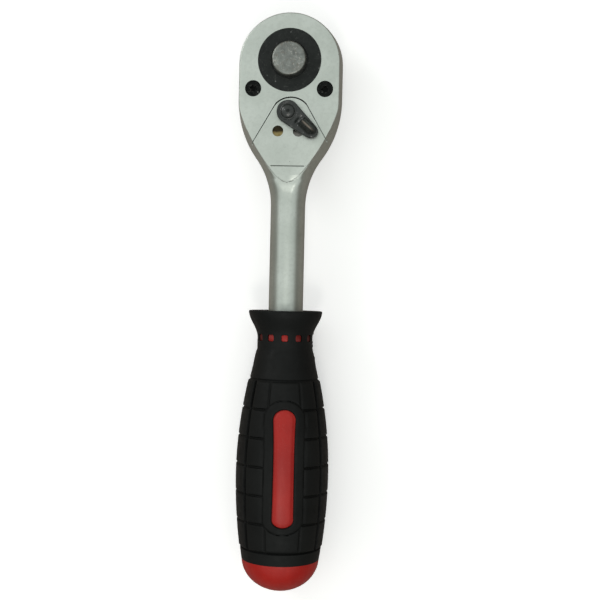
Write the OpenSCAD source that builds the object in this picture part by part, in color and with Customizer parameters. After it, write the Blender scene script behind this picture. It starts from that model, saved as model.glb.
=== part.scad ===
// Pear-head reversible ratchet wrench with a quick-release square drive and a two-colour moulded grip.
// Origin: on the drive axis, in the shoulder plane where a socket's mouth seats.
// +Z points to the cover and lever side, the handle runs along -Y. Millimetres.

/* [Drive] */
// width across flats of the square drive
drive_af = 12.7; // [12.5:0.1:12.9]
// length of the square drive from the shoulder to its end
drive_length = 15.5; // [14.5:0.5:17]
// number of teeth on the drive gear
gear_teeth = 24; // [24]
// diameter of the push button
button_d = 14.5; // [13.5:0.5:15]
// how far the push button can be pressed
button_travel = 3; // [2:0.5:3]

/* [Head] */
// width of the head at its parting line
head_width = 45; // [44.5:0.25:46]
// thickness of the head from its front face to its cover face
head_thickness = 16.4; // [16.4:0.1:17.4]
// thickness of the cover and of the lever plate
plate_thickness = 3; // [2.8:0.1:3.2]
// diameter of the round neck
neck_d = 15; // [14:0.25:15.5]

/* [Lever] */
// reach of the reversing lever from its pivot to its tip
lever_reach = 16; // [14:0.5:17]
// angle of the lever from the handle line when it is thrown to the right
lever_throw = 50; // [50]
// height of the lever's thumb tab above the cover face
tab_height = 5.4; // [4.5:0.1:6]

/* [Grip] */
// distance from the drive axis to the start of the grip
grip_start = 107.3; // [104:0.1:112]
// distance from the drive axis to the end of the rubber
rubber_end = 215; // [214:1:220]
// distance from the drive axis to the butt of the handle
butt_end = 229; // [226:1:232]
// diameter of the rubber at its thickest
belly_d = 40.3; // [38:0.5:42]
// diameter of the rubber at the finger waist
waist_d = 24; // [23.5:0.5:26]
// diameter of the flared lip at the neck end
lip_d = 32; // [29:0.5:34]
// width of the smooth window through the rubber
window_w = 9.2; // [8:0.2:11]
// depth of the grooves that divide the rubber into blocks
groove_depth = 0.6; // [0.4:0.1:0.8]
// width of those grooves
groove_w = 0.8; // [0.6:0.1:1.2]
// angle the moulded grip sits turned from the plane of the head
grip_turn = 7; // [0:1:10]

/* [Hidden] */
$fn = 96;

eps = 0.01;
running = 0.05;              // radial clearance of every turning or sliding fit

// ---- levels along the drive axis
face_z = 0.6;                // front face of the head, just behind the shoulder
cover_z = face_z + head_thickness;
seat_z = cover_z - plate_thickness;
parting_z = (face_z + cover_z) / 2;
floor_z = 3.6;               // floor of the gear and pawl pocket

// ---- plan of the head
head_r = head_width / 2;
head_y = -1.3;               // centre of the round end
straight_end = -16.2;        // where the sides start to close in
shoulder_r = 43;             // convex side arc
fillet_r = 35;               // concave arc that runs out into the neck
neck_r = neck_d / 2;
face_inset = 1.2;            // side draft, from the parting line to either face
fillet_x = neck_r + fillet_r;
shoulder_x = head_r - shoulder_r;
fillet_reach = sqrt(pow(shoulder_r + fillet_r, 2) - pow(fillet_x - shoulder_x, 2));
fillet_y = straight_end - fillet_reach;
tangent_y = straight_end - fillet_reach * shoulder_r / (shoulder_r + fillet_r);
pinch_r = 76.4;              // extra draft that pinches the faces to a tongue over the neck
pinch_x = -51.6;
pinch_y = 2.1;
nose_y = -46;                // the faces end in a round nose over the neck
nose_r = 6.4;
pinch_end = nose_y - 2;
pinch_draft = 3.3;

// ---- gear
tip_r = 15.5;
root_r = 14.2;
tooth_pitch = 360 / gear_teeth;
tip_half = 1.6;              // half angle of a tooth at its tip
root_half = 5.4;             // half angle of a tooth at its root
collar_r = 11.8;             // front journal
journal_r = 13.4;            // rear journal, seen as a ring in the cover
tooth_z = 4.15;
tooth_top = seat_z - 0.1;
journal_top = cover_z - 0.1;

// ---- quick release
button_r = button_d / 2;
flange_r = button_r + 0.85;
flange_z = 13.4;
flange_h = 1.5;
button_top = 21.3;
stem_r = 3.2;
stem_bottom = -9.8;
well_z = flange_z - button_travel - 0.2;
spring_seat = 3;
spring_well_r = 5;
ball_r = 2;
ball_z = -7.5;
ball_out = 0.9;              // how far the ball stands out of the drive's flat
ball_x = drive_af / 2 - (ball_r - ball_out);
ramp = 0.3;                  // radial drop of the stem's cone per millimetre of press
ring_z = flange_z + flange_h + 0.2;
ring_h = 0.9;

// ---- reversing gear
pivot_y = -22.4;
arch_r = 8.6;
arch_x = 1;                  // the lever plate sits a little right of the middle
arch_y = -24.9;
wedge_angle = 30;            // the lever plate's sides, from the handle line
plate_end = -45.5;
seam = 0.12;
arch_gap = 0.45;
lip = 1.2;                   // lap of the lever plate under the cover
pin_x = 4.4;
pin_y = -30.4;
pin_r = 2.3;
pin_top = 15.4;
pin_bottom = 1.8;            // blind holes in the front wall for the pins and the shaft
boss_r = 3;
toe_angle = -60;
strut_w = 3.6;
pawl_swing = 10;
pawl_z = 3.75;
pawl_h = seat_z - 0.15 - pawl_z;
cam_r = 5.15;
cam_offset = 0.885;
cam_z = 4;
cam_h = 9.4;
shaft_r = 3;
shaft_nose_r = 2.5;          // the shaft's journal in the front wall
seal_seat = 1.7;             // depth of the seal's counterbore in the lever plate
lever_z = cover_z + 0.15;
hub_r = 4.8;
hub_h = 3.2;
lever_square = 4.2;           // square end of the shaft that carries the lever
dome_r = 2.8;                // peened end of the shaft
dome_sink = 1.5;             // depth of the dome's centre below the hub's top

// ---- cover screws
screw_x = 15.4;
screw_y = -12.3;
screw_head_r = 3.4;
screw_shank_r = 2;
screw_end = 5;

// ---- springs
wire_r = 0.35;
coil_steps = 16;
wire_sides = 6;
spring_y = -20;
pawl_spring_r = 1.9;
spring_wall = 17;            // bottom of each pawl spring's bore
engaged_at = 9.85;           // where each pawl spring meets its pawl
thrown_at = 12.5;

// ---- handle
waist_start = 119;
waist_end = 124;
belly_at = 178;
tail_d = 34.4;
step_in = 0.35;              // the red butt starts this much inside the rubber
rubber_wall = 3;
window_top = 148.8;
window_bottom = 198.3;
window_recess = 0.3;
frame_w = 4.3;               // smooth band around the window
first_groove = 137;
groove_pitch = 12.07;
groove_rows = 6;
column_angles = [20, 54, 90, 126, 160];   // grooves along the handle, from +X, on either face
dots = 12;
dot_at = 118.9;
dot_w = 2.8;
dot_h = 2.9;
tang_r = 6;
tang_end = 198;
key_pitch = 18;
key_depth = 0.8;             // keys on the tang that stop the handle turning
key_w = 3;
key_length = 6;

function ease(t) = (1 - cos(180 * t)) / 2;
function swell(t) = pow(sin(90 * t), 0.85);
function steps(n) = [for (i = [0 : n]) i / n];

// radius of the grip at a distance h from the drive axis
function grip_r(h) =
    h < waist_start ? (lip_d + (waist_d - lip_d) * ease((h - grip_start) / (waist_start - grip_start))) / 2 :
    h < waist_end ? waist_d / 2 :
    h < belly_at ? (waist_d + (belly_d - waist_d) * swell((h - waist_end) / (belly_at - waist_end))) / 2 :
    (belly_d + (tail_d - belly_d) * pow((h - belly_at) / (rubber_end - belly_at), 2)) / 2;

function span(a, b, n) = [for (t = steps(n)) a + (b - a) * t];
grip_stations = concat(span(grip_start + 1.2, waist_start, 8), span(waist_end, belly_at, 18),
                       span(belly_at + 3, rubber_end, 12));

module along_handle() {
    translate([0, 0, parting_z]) rotate([90, 0, 0]) children();
}

// turns the moulded parts of the grip about the handle's axis
module moulded() {
    translate([0, 0, parting_z]) rotate([0, grip_turn, 0]) translate([0, 0, -parting_z]) children();
}

module both_sides() {
    children();
    mirror([1, 0, 0]) children();
}

module ring(inner, outer, low, high) {
    translate([0, 0, low]) difference() {
        cylinder(r = outer, h = high - low);
        translate([0, 0, -1]) cylinder(r = inner, h = high - low + 2);
    }
}

// ------------------------------------------------------------------ head shell

// half of a side wall's section: radius at the parting line, drafted to both faces
function side_profile(r, inset) = [
    [0, face_z], [r - inset, face_z], [r - inset + 0.5, face_z + 0.6], [r, parting_z - 1],
    [r, parting_z + 1], [r - inset + 0.5, cover_z - 0.6], [r - inset, cover_z], [0, cover_z]
];

module shoulder_disc() {
    translate([shoulder_x, straight_end, 0])
        rotate_extrude($fn = 192) polygon(side_profile(shoulder_r, face_inset));
}

module pinch_disc() {
    translate([pinch_x, pinch_y, 0]) rotate_extrude($fn = 192)
        polygon([[0, face_z], [pinch_r, face_z], [pinch_r + pinch_draft, parting_z],
                 [pinch_r, cover_z], [0, cover_z]]);
}

module fillet_cutter() {
    translate([fillet_x, fillet_y, parting_z]) rotate_extrude($fn = 192) difference() {
        translate([0, -head_thickness]) square([fillet_x, 2 * head_thickness]);
        translate([fillet_x, 0]) circle(r = neck_r);
    }
}

module nose_disc() {
    translate([0, nose_y, 0]) rotate_extrude()
        polygon([[0, face_z], [nose_r, face_z], [nose_r + pinch_draft, parting_z],
                 [nose_r, cover_z], [0, cover_z]]);
}

module head_shell() {
    nose_disc();
    translate([0, head_y, 0]) rotate_extrude() polygon(side_profile(head_r, face_inset));
    translate([0, head_y, 0]) rotate([90, 0, 0]) linear_extrude(head_y - straight_end)
        both_sides() polygon(side_profile(head_r, face_inset));
    intersection() {
        shoulder_disc();
        mirror([1, 0, 0]) shoulder_disc();
        pinch_disc();
        mirror([1, 0, 0]) pinch_disc();
        translate([-head_r, pinch_end, face_z])
            cube([head_width, straight_end - pinch_end, head_thickness]);
    }
    difference() {
        translate([-head_r, fillet_y, parting_z - neck_r])
            cube([head_width, tangent_y - fillet_y, neck_d]);
        both_sides() fillet_cutter();
    }
}

module plate_slab() {
    translate([-head_r - 1, plate_end, seat_z])
        cube([head_width + 2, head_r + head_y - plate_end + 1, plate_thickness + 1]);
}

// outline of the lever plate: an arch over the pivot and two straight sides, grown by g and its arch by a
module plate_outline(g, a) {
    start = arch_r + g;
    run = 24;
    translate([arch_x, arch_y]) {
        circle(r = arch_r + a);
        polygon([for (s = [-1, 1], e = s < 0 ? [0, 1] : [1, 0])
            [s * (start * cos(wedge_angle) + e * run * sin(wedge_angle)),
             start * sin(wedge_angle) - e * run * cos(wedge_angle)]]);
    }
    half = start * cos(wedge_angle) + run * sin(wedge_angle);
    low = arch_y + start * sin(wedge_angle) - run * cos(wedge_angle);
    translate([arch_x - half, plate_end]) square([2 * half, low - plate_end + 1]);
}

module at_pins() {
    both_sides() translate([pin_x, pin_y, 0]) children();
}

module at_screws() {
    both_sides() translate([screw_x, screw_y, 0]) children();
}

module tang() {
    translate([0, 0, grip_start - 2]) cylinder(r = tang_r, h = tang_end - grip_start + 2);
    for (k = [1 : 4])
        translate([-tang_r - key_depth, -key_w / 2, grip_start + k * key_pitch])
            cube([2 * (tang_r + key_depth), key_w, key_length]);
}

module pocket() {
    translate([0, 0, floor_z]) {
        cylinder(r = tip_r + 0.3, h = head_thickness);
        linear_extrude(head_thickness) {
            both_sides() polygon([[0, -11], [10.8, -11], [13.1, -14.4], [13.1, -19],
                                  [8.9, -31.4], [0, -31.4]]);
            translate([-pin_x, -34.3]) square([2 * pin_x, 8]);
            both_sides() translate([pin_x, pin_y]) circle(r = boss_r + 0.9);
        }
    }
}

module head_body() {
    color("silver") difference() {
        union() {
            head_shell();
            along_handle() {
                translate([0, 0, -fillet_y - 22]) cylinder(r = neck_r, h = grip_start + fillet_y + 22);
                tang();
            }
        }
        plate_slab();
        pocket();
        translate([0, 0, -1]) cylinder(r = collar_r + running, h = 10);
        translate([0, pivot_y, pin_bottom]) cylinder(r = shaft_nose_r + running, h = 10);
        at_pins() translate([0, 0, pin_bottom]) cylinder(r = pin_r, h = 10);
        at_screws() translate([0, 0, screw_end]) cylinder(r = screw_shank_r, h = 20);
        both_sides() translate([0, spring_y, parting_z]) rotate([0, 90, 0])
            cylinder(r = pawl_spring_r + wire_r + 0.3, h = spring_wall);
        translate([-5, plate_end - 2.8, seat_z]) cube([10, 4, 1.4]);
    }
}

module gear_cover() {
    color("silver") difference() {
        intersection() {
            head_shell();
            plate_slab();
        }
        cylinder(r = journal_r + running, h = 30);
        linear_extrude(30) plate_outline(seam, arch_gap);
        linear_extrude(seat_z + 1.4) plate_outline(lip + 0.1, lip + 0.2);
        at_screws() {
            translate([0, 0, 1]) cylinder(r = screw_shank_r + 0.2, h = 30);
            translate([0, 0, seat_z + 1]) cylinder(r = screw_head_r + 0.1, h = 10);
        }
    }
}

module lever_plate() {
    color("silver") difference() {
        union() {
            intersection() {
                head_shell();
                plate_slab();
                union() {
                    linear_extrude(30) plate_outline(0, 0.1);
                    linear_extrude(seat_z + 1.3) plate_outline(lip, lip + 0.1);
                }
            }
            translate([-4.9, plate_end - 2.7, seat_z]) cube([9.8, 4, 1.3]);
        }
        translate([0, pivot_y, 0]) cylinder(r = shaft_r + running, h = 30);
        translate([0, pivot_y, cover_z - seal_seat]) cylinder(r = hub_r + 0.1, h = 10);
        at_pins() cylinder(r = pin_r + running, h = 30);
    }
}

// countersunk screws with a six-point recess
module cover_screws() {
    color("dimgray") at_screws() difference() {
        union() {
            translate([0, 0, screw_end + 0.5]) cylinder(r = screw_shank_r, h = seat_z - screw_end + 1);
            translate([0, 0, seat_z + 1]) cylinder(r = screw_head_r, h = 1.7);
        }
        for (turn = [0, 30]) rotate(turn)
            translate([0, 0, seat_z + 1.2]) cylinder(r = 1.7, h = 5, $fn = 3);
        translate([0, 0, seat_z + 1.2]) cylinder(r = 1.35, h = 5, $fn = 6);
    }
}

// ------------------------------------------------------------------ drive train

function polar(r, a) = [r * cos(a), r * sin(a)];

module gear_plan() {
    tooth = [[root_r, -root_half], [tip_r, -tip_half], [tip_r, tip_half], [root_r, root_half]];
    polygon([for (k = [0 : gear_teeth - 1], p = tooth) polar(p[0], (k + 0.5) * tooth_pitch + p[1])]);
}

module square_drive() {
    intersection() {
        translate([-drive_af / 2, -drive_af / 2, -drive_length]) cube([drive_af, drive_af, drive_length + 1]);
        rotate_extrude() polygon([
            [0, -drive_length], [drive_af / 2 - 0.6, -drive_length],
            [drive_af / 2 + 1.9, -drive_length + 2.5],
            [drive_af / 2 + 1.9, 1], [0, 1]]);
    }
}

module drive_gear() {
    color("darkslategray") difference() {
        union() {
            square_drive();
            cylinder(r = collar_r, h = tooth_z + eps);
            translate([0, 0, tooth_z]) linear_extrude(tooth_top - tooth_z) gear_plan();
            cylinder(r = journal_r, h = journal_top);
        }
        translate([0, 0, tooth_z - 5]) ring(collar_r, 20, 0, 5);
        translate([0, 0, stem_bottom - button_travel - 0.4]) cylinder(r = stem_r + running, h = 40);
        translate([0, 0, spring_seat]) cylinder(r = spring_well_r, h = 30);
        translate([0, 0, well_z]) cylinder(r = flange_r + running, h = 30);
        ring(0, flange_r + 0.8, ring_z - 0.05, ring_z + ring_h + 0.05);
        translate([0, 0, ball_z]) rotate([0, 90, 0]) {
            cylinder(r = ball_r + 0.04, h = drive_af / 2 - 0.2);
            cylinder(r = ball_r - 0.18, h = drive_af);
        }
    }
}

module drag_ring() {
    color("gray") ring(collar_r + 0.2, root_r - 0.2, floor_z, tooth_z - 0.05);
}

module release_button() {
    cone_low = ball_z - 0.23;
    groove_r = stem_r - 0.07 - ramp * 3.4;
    color("gainsboro") rotate_extrude() polygon([
        [0, stem_bottom], [stem_r - 0.5, stem_bottom], [stem_r, stem_bottom + 0.5], [stem_r, cone_low],
        [groove_r, ball_z + 3.4], [groove_r, ball_z + 4], [stem_r, ball_z + 5.6],
        [stem_r, flange_z], [flange_r, flange_z], [flange_r, flange_z + flange_h],
        [button_r, flange_z + flange_h], [button_r, button_top - 0.7],
        [button_r - 0.7, button_top], [0, button_top]
    ]);
}

// snap ring in the gear's bore that keeps the button in
module button_ring() {
    color("black") difference() {
        ring(button_r + 0.07, flange_r + 0.7, ring_z, ring_z + ring_h);
        translate([-1.5, 0, 0]) cube([3, 20, 40]);
    }
}

module detent_ball() {
    color("gainsboro") translate([ball_x, 0, ball_z]) sphere(r = ball_r);
}

// compression spring along +Z from z = 0, its end coils closed up
module coil_spring(r, length, turns) {
    n = turns * coil_steps;
    rise = length - 2 * wire_r;
    closed = 0.15;           // share of the wire in each closed end
    crept = closed / 4;      // share of the height those ends take up
    function lift(t) = wire_r + rise * (
        t < closed ? t / 4 : t > 1 - closed ? 1 - (1 - t) / 4 :
        crept + (t - closed) * (1 - 2 * crept) / (1 - 2 * closed));
    points = [for (i = [0 : n], k = [0 : wire_sides - 1])
        let (turn = 360 * i / coil_steps, a = 360 * k / wire_sides, d = r + wire_r * cos(a))
        [d * cos(turn), d * sin(turn), lift(i / n) + wire_r * sin(a)]];
    sides = [for (i = [0 : n - 1], k = [0 : wire_sides - 1])
        let (a = i * wire_sides + k, b = i * wire_sides + (k + 1) % wire_sides)
        [a, b, b + wire_sides, a + wire_sides]];
    caps = [[for (k = [wire_sides - 1 : -1 : 0]) k],
            [for (k = [0 : wire_sides - 1]) n * wire_sides + k]];
    polyhedron(points, concat(sides, caps));
}

module release_spring() {
    color("silver") translate([0, 0, spring_seat])
        coil_spring(spring_well_r - wire_r - 0.3, flange_z - spring_seat, 6);
}

// ------------------------------------------------------------------ pawls and reversing gear

// half width of the gap between two gear teeth at radius r
function gap_half(r) =
    r * sin(tooth_pitch / 2 - root_half + (root_half - tip_half) * (r - root_r) / (tip_r - root_r));

// the single tooth that drops between two gear teeth, with backlash on both flanks
function toe_point(r, side) = polar(r, toe_angle) + side * polar(1, toe_angle + 90);
toe_crown = root_r + 0.25;
backlash = 0.14;
toe_half = [[tip_r + 2.6, 1.6], [tip_r + 0.35, 1.9],
            [tip_r, gap_half(tip_r) - backlash], [toe_crown, gap_half(toe_crown) - backlash]];

// right pawl as it sits when it holds the gear
module pawl() {
    pin = [pin_x, pin_y];
    end = polar(tip_r + strut_w / 2, toe_angle);
    across = [pin[1] - end[1], end[0] - pin[0]] * strut_w / 2 / norm(end - pin);
    translate([0, 0, pawl_z]) difference() {
        union() {
            translate(pin) cylinder(r = boss_r, h = pawl_h);
            linear_extrude(pawl_h) polygon([pin - across, end - across, end + across, pin + across]);
            linear_extrude(pawl_h) polygon(concat(
                [for (p = toe_half) toe_point(p[0], -p[1])],
                [for (k = [3 : -1 : 0]) toe_point(toe_half[k][0], toe_half[k][1])]));
        }
        translate([pin_x, pin_y, -1]) cylinder(r = pin_r + running, h = pawl_h + 2);
    }
}

module right_pawl() {
    color("slategray") pawl();
}

// the left pawl rests thrown out, clear of the gear
module left_pawl() {
    color("slategray") translate([-pin_x, pin_y, 0]) rotate(pawl_swing) translate([pin_x, -pin_y, 0])
        mirror([1, 0, 0]) pawl();
}

module pawl_pin() {
    translate([pin_x, pin_y, pin_bottom]) cylinder(r = pin_r, h = pin_top - pin_bottom);
}

module left_pawl_pin() {
    color("goldenrod") mirror([1, 0, 0]) pawl_pin();
}

module right_pawl_pin() {
    color("silver") pawl_pin();
}

module pawl_spring(from) {
    translate([from, spring_y, parting_z]) rotate([0, 90, 0])
        coil_spring(pawl_spring_r, spring_wall - from, 5);
}

module left_pawl_spring() {
    color("silver") mirror([1, 0, 0]) pawl_spring(thrown_at);
}

module right_pawl_spring() {
    color("silver") pawl_spring(engaged_at);
}

module lever_shaft() {
    color("dimgray") translate([0, pivot_y, 0]) {
        translate([0, 0, pin_bottom + 0.2]) cylinder(r = shaft_nose_r, h = 3);
        rotate(90 + lever_throw) translate([cam_offset, 0, cam_z]) cylinder(r = cam_r, h = cam_h);
        translate([0, 0, cam_z + cam_h - 1]) cylinder(r = shaft_r, h = lever_z - cam_z - cam_h + 1);
        rotate(lever_throw - 90) translate([-lever_square / 2, -lever_square / 2, lever_z - eps])
            cube([lever_square, lever_square, hub_h + 0.2]);
        translate([0, 0, lever_z + hub_h - dome_sink]) intersection() {
            sphere(r = dome_r);
            translate([-dome_r, -dome_r, dome_sink]) cube([2 * dome_r, 2 * dome_r, dome_r]);
        }
    }
}

// lever plan along +X from the pivot: round hub, tapered arm and round tip
module lever_plan() {
    tip_round = 2.7;
    circle(r = hub_r);
    polygon([[0, -hub_r], [0, hub_r], [6, 4], [lever_reach - 2, tip_round],
             [lever_reach - 2, -3.6], [5, -4.4]]);
    translate([lever_reach - tip_round, 0]) circle(r = tip_round);
    translate([lever_reach - 3.6, -1.6]) circle(r = 2.4);
}

module reversing_lever() {
    tab_top = tab_height - 0.15;
    color("black") translate([0, pivot_y, lever_z]) rotate(lever_throw - 90) difference() {
        union() {
            cylinder(r = hub_r, h = hub_h);
            intersection() {
                linear_extrude(tab_top) lever_plan();
                rotate([90, 0, 0]) translate([0, 0, -10]) linear_extrude(20) polygon([
                    [0, 0], [lever_reach + 1, 0], [lever_reach + 1, 2.2], [lever_reach - 1.4, tab_top],
                    [lever_reach - 4.2, tab_top], [lever_reach - 7, 3.6], [5.2, 2.6], [0, 2.6]]);
            }
        }
        translate([-lever_square / 2, -lever_square / 2, -1]) cube([lever_square, lever_square, 10]);
    }
}

module lever_seal() {
    section_r = 0.8;
    color("black") translate([0, pivot_y, cover_z - seal_seat + section_r])
        rotate_extrude() translate([shaft_r + running + section_r, 0]) circle(r = section_r, $fn = 32);
}

// ------------------------------------------------------------------ handle

// profile of the grip, shrunk by d, from its lip to the end of the rubber
function grip_profile(d) = concat(
    [[0, grip_start + d], [lip_d / 2 - 1.2 - d, grip_start + d], [lip_d / 2 - 0.4 - d, grip_start + 0.4 + d]],
    [for (h = grip_stations) [grip_r(h) - d, h]],
    [[0, rubber_end]]);

module grip_solid(d) {
    rotate_extrude() polygon(grip_profile(d));
}

// rounded slot in plan, grown by g, through the whole handle
module window_prism(g) {
    top_r = window_w / 2 + 0.3;
    low_r = window_w / 2;
    low_at = window_bottom - low_r;
    top_at = window_top + top_r;
    translate([0, 0, parting_z - 30]) linear_extrude(60) {
        translate([0, -top_at]) circle(r = top_r + g);
        translate([0, -low_at]) circle(r = low_r + g);
        polygon([[-top_r - g, -top_at], [-low_r - g, -low_at], [low_r + g, -low_at], [top_r + g, -top_at]]);
    }
}

module dot_prisms() {
    for (k = [0 : dots - 1])
        rotate(k * 360 / dots + 90) translate([6, -dot_w / 2, dot_at - dot_h / 2]) cube([10, dot_w, dot_h]);
}

module butt_profile(start) {
    r = tail_d / 2 - step_in;
    depth = butt_end - rubber_end + 0.4;
    rotate_extrude() polygon(concat([[0, start], [r, start]],
        [for (t = steps(16)) [r * cos(90 * t), butt_end - depth + depth * sin(90 * t)]]));
}

module handle_core() {
    color("firebrick") difference() {
        moulded() {
            along_handle() {
                grip_solid(rubber_wall);
                butt_profile(rubber_end);
                intersection() {
                    grip_solid(0.1);
                    dot_prisms();
                }
            }
            intersection() {
                along_handle() grip_solid(window_recess);
                window_prism(0);
            }
        }
        along_handle() tang();
    }
}

module grooves() {
    difference() {
        along_handle() intersection() {
            union() {
                for (k = [0 : groove_rows])
                    translate([0, 0, first_groove + k * groove_pitch - groove_w / 2])
                        cylinder(r = belly_d, h = groove_w);
                for (s = [0, 180], a = column_angles) rotate(s + a)
                    translate([0, -groove_w / 2, first_groove])
                        cube([belly_d, groove_w, groove_rows * groove_pitch]);
            }
            difference() {
                translate([0, 0, first_groove - 5]) cylinder(r = belly_d, h = rubber_end - first_groove);
                grip_solid(groove_depth);
            }
        }
        window_prism(frame_w);
    }
}

module rubber_grip() {
    color([0.12, 0.13, 0.12]) moulded() difference() {
        along_handle() grip_solid(0);
        along_handle() {
            grip_solid(rubber_wall);
            dot_prisms();
            translate([0, 0, grip_start - 1]) cylinder(r = neck_r, h = 1 + rubber_wall + eps);
        }
        window_prism(0);
        grooves();
    }
}

head_body();
gear_cover();
lever_plate();
cover_screws();
drive_gear();
drag_ring();
release_button();
release_spring();
button_ring();
detent_ball();
left_pawl();
right_pawl();
left_pawl_pin();
right_pawl_pin();
left_pawl_spring();
right_pawl_spring();
reversing_lever();
lever_shaft();
lever_seal();
handle_core();
rubber_grip();
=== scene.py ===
"""Looks of the pear-head ratchet wrench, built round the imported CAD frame.

Shapes are worked out in millimetres in the row frame (drive axis at the origin, +Z to the lever side,
handle along -Y) and scaled to metres when a mesh is made.
"""
import math

import bmesh
import bpy
import numpy as np
from mathutils import Matrix, Vector


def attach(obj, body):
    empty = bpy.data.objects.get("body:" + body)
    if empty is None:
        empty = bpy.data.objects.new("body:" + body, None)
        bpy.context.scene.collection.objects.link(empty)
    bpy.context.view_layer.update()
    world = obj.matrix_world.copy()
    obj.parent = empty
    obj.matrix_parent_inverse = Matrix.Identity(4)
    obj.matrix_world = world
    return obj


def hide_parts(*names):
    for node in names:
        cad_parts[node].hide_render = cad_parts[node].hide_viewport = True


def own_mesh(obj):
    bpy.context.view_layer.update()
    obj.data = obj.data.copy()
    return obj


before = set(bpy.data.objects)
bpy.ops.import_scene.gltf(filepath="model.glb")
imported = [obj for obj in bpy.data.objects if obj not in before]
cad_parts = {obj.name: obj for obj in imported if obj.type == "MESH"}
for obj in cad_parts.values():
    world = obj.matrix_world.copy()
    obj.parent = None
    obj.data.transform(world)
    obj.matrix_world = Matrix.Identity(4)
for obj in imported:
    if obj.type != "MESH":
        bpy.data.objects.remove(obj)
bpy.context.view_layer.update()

MM = 0.001
WELD = 0.001  # points closer than this are one

# ---- sizes, in millimetres
COVER_Z, SEAT_Z, PART_Z = 17.0, 14.0, 8.8
POCKET_FLOOR, GEAR_HOLE_R, COLLAR_HOLE_R, RING_HOLE_R = 3.6, 15.8, 11.95, 13.6
HEAD_R, HEAD_Y, STRAIGHT_END = 22.5, -1.3, -16.2
SHOULDER_R, FILLET_R, NECK_R, FACE_INSET = 43.0, 35.0, 7.5, 1.2
SHOULDER_X, FILLET_X = HEAD_R - SHOULDER_R, NECK_R + FILLET_R
REACH = math.sqrt((SHOULDER_R + FILLET_R) ** 2 - (FILLET_X - SHOULDER_X) ** 2)
FILLET_Y = STRAIGHT_END - REACH
TANGENT_Y = STRAIGHT_END - REACH * SHOULDER_R / (SHOULDER_R + FILLET_R)
PINCH_X, PINCH_Y, PINCH_R = -51.6, 2.1, 76.4
NOSE_START, NOSE_END, NECK_TOP = -46.6, -52.2, 7.45
PIVOT_Y, PLATE_END = -22.4, -45.5
ARCH_R, ARCH_X, ARCH_Y = 8.6, 1.0, -24.9
PIN_X, PIN_Y, PIN_HOLE_R = 4.4, -30.4, 2.35
SCREW_X, SCREW_Y, SCREW_HOLE_R = 15.4, -12.3, 3.5
SHAFT_HOLE_R, LEVER_SEAT_R, LEVER_SEAT_DEPTH = 3.06, 4.95, 1.7
GRIP_START, RUBBER_END, BUTT_END = 107.3, 215.0, 229.0
GROOVE_FIRST, GROOVE_PITCH, GROOVE_ROWS = 137.0, 12.07, 6
WINDOW_TOP, WINDOW_END, FRAME_W = 148.8, 198.3, 4.3
BEYOND = 30.0  # reach of a cutting block past anything it cuts


def ease(t):
    """0 below 0, 1 above 1, and a smooth step between."""
    t = min(max(t, 0.0), 1.0)
    return t * t * (3 - 2 * t)


# ---- mesh helpers
def mesh_object(name, verts, faces):
    """A mesh object from millimetre points, welded, with outward normals."""
    mesh = bpy.data.meshes.new(name)
    mesh.from_pydata([(x * MM, y * MM, z * MM) for x, y, z in verts], [], faces)
    bm = bmesh.new()
    bm.from_mesh(mesh)
    bmesh.ops.remove_doubles(bm, verts=bm.verts, dist=WELD * MM)
    bmesh.ops.dissolve_degenerate(bm, edges=bm.edges, dist=1e-7)
    bmesh.ops.recalc_face_normals(bm, faces=bm.faces)
    bm.to_mesh(mesh)
    bm.free()
    obj = bpy.data.objects.new(name, mesh)
    bpy.context.scene.collection.objects.link(obj)
    return obj


def apply_modifiers(obj):
    deps = bpy.context.evaluated_depsgraph_get()
    mesh = bpy.data.meshes.new_from_object(obj.evaluated_get(deps))
    obj.modifiers.clear()
    old, obj.data = obj.data, mesh
    bpy.data.meshes.remove(old)


def remove(*objs):
    for o in objs:
        bpy.data.objects.remove(o)


def boolean(obj, tool, operation):
    m = obj.modifiers.new("cut", "BOOLEAN")
    m.operation, m.object, m.solver = operation, tool, "EXACT"
    apply_modifiers(obj)


def clone(obj, name):
    new = obj.copy()
    new.data = obj.data.copy()
    new.name = name
    bpy.context.scene.collection.objects.link(new)
    return new


def soften(obj, width=0.15, segments=2, angle=35):
    """Rounds sharp edges by width millimetres and shades the rest smooth."""
    for p in obj.data.polygons:
        p.use_smooth = True
    m = obj.modifiers.new("edges", "BEVEL")
    m.width, m.segments, m.limit_method = width * MM, segments, "ANGLE"
    m.angle_limit = math.radians(angle)
    m.harden_normals = True
    m.miter_outer = "MITER_ARC"
    return obj


def smooth_by_angle(obj, angle=35):
    for p in obj.data.polygons:
        p.use_smooth = True
    obj.data.set_sharp_from_angle(angle=math.radians(angle))
    return obj


def prism(name, outline, low, high):
    """A straight block over a plan outline, given as (x, y) points in order."""
    n = len(outline)
    verts = [(x, y, low) for x, y in outline] + [(x, y, high) for x, y in outline]
    faces = [tuple(range(n))[::-1], tuple(range(n, 2 * n))]
    faces += [(i, (i + 1) % n, n + (i + 1) % n, n + i) for i in range(n)]
    return mesh_object(name, verts, faces)


def arc(cx, cy, r, start, end, n):
    angles = [math.radians(start + (end - start) * i / n) for i in range(n + 1)]
    return [(cx + r * math.cos(a), cy + r * math.sin(a)) for a in angles]


def circle(cx, cy, r, n=64):
    return arc(cx, cy, r, 0, 360, n)[:-1]


def joined(name, objs):
    """One object of several closed shells."""
    bm = bmesh.new()
    for o in objs:
        bm.from_mesh(o.data)
    mesh = bpy.data.meshes.new(name)
    bm.to_mesh(mesh)
    bm.free()
    remove(*objs)
    obj = bpy.data.objects.new(name, mesh)
    bpy.context.scene.collection.objects.link(obj)
    return obj


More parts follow.
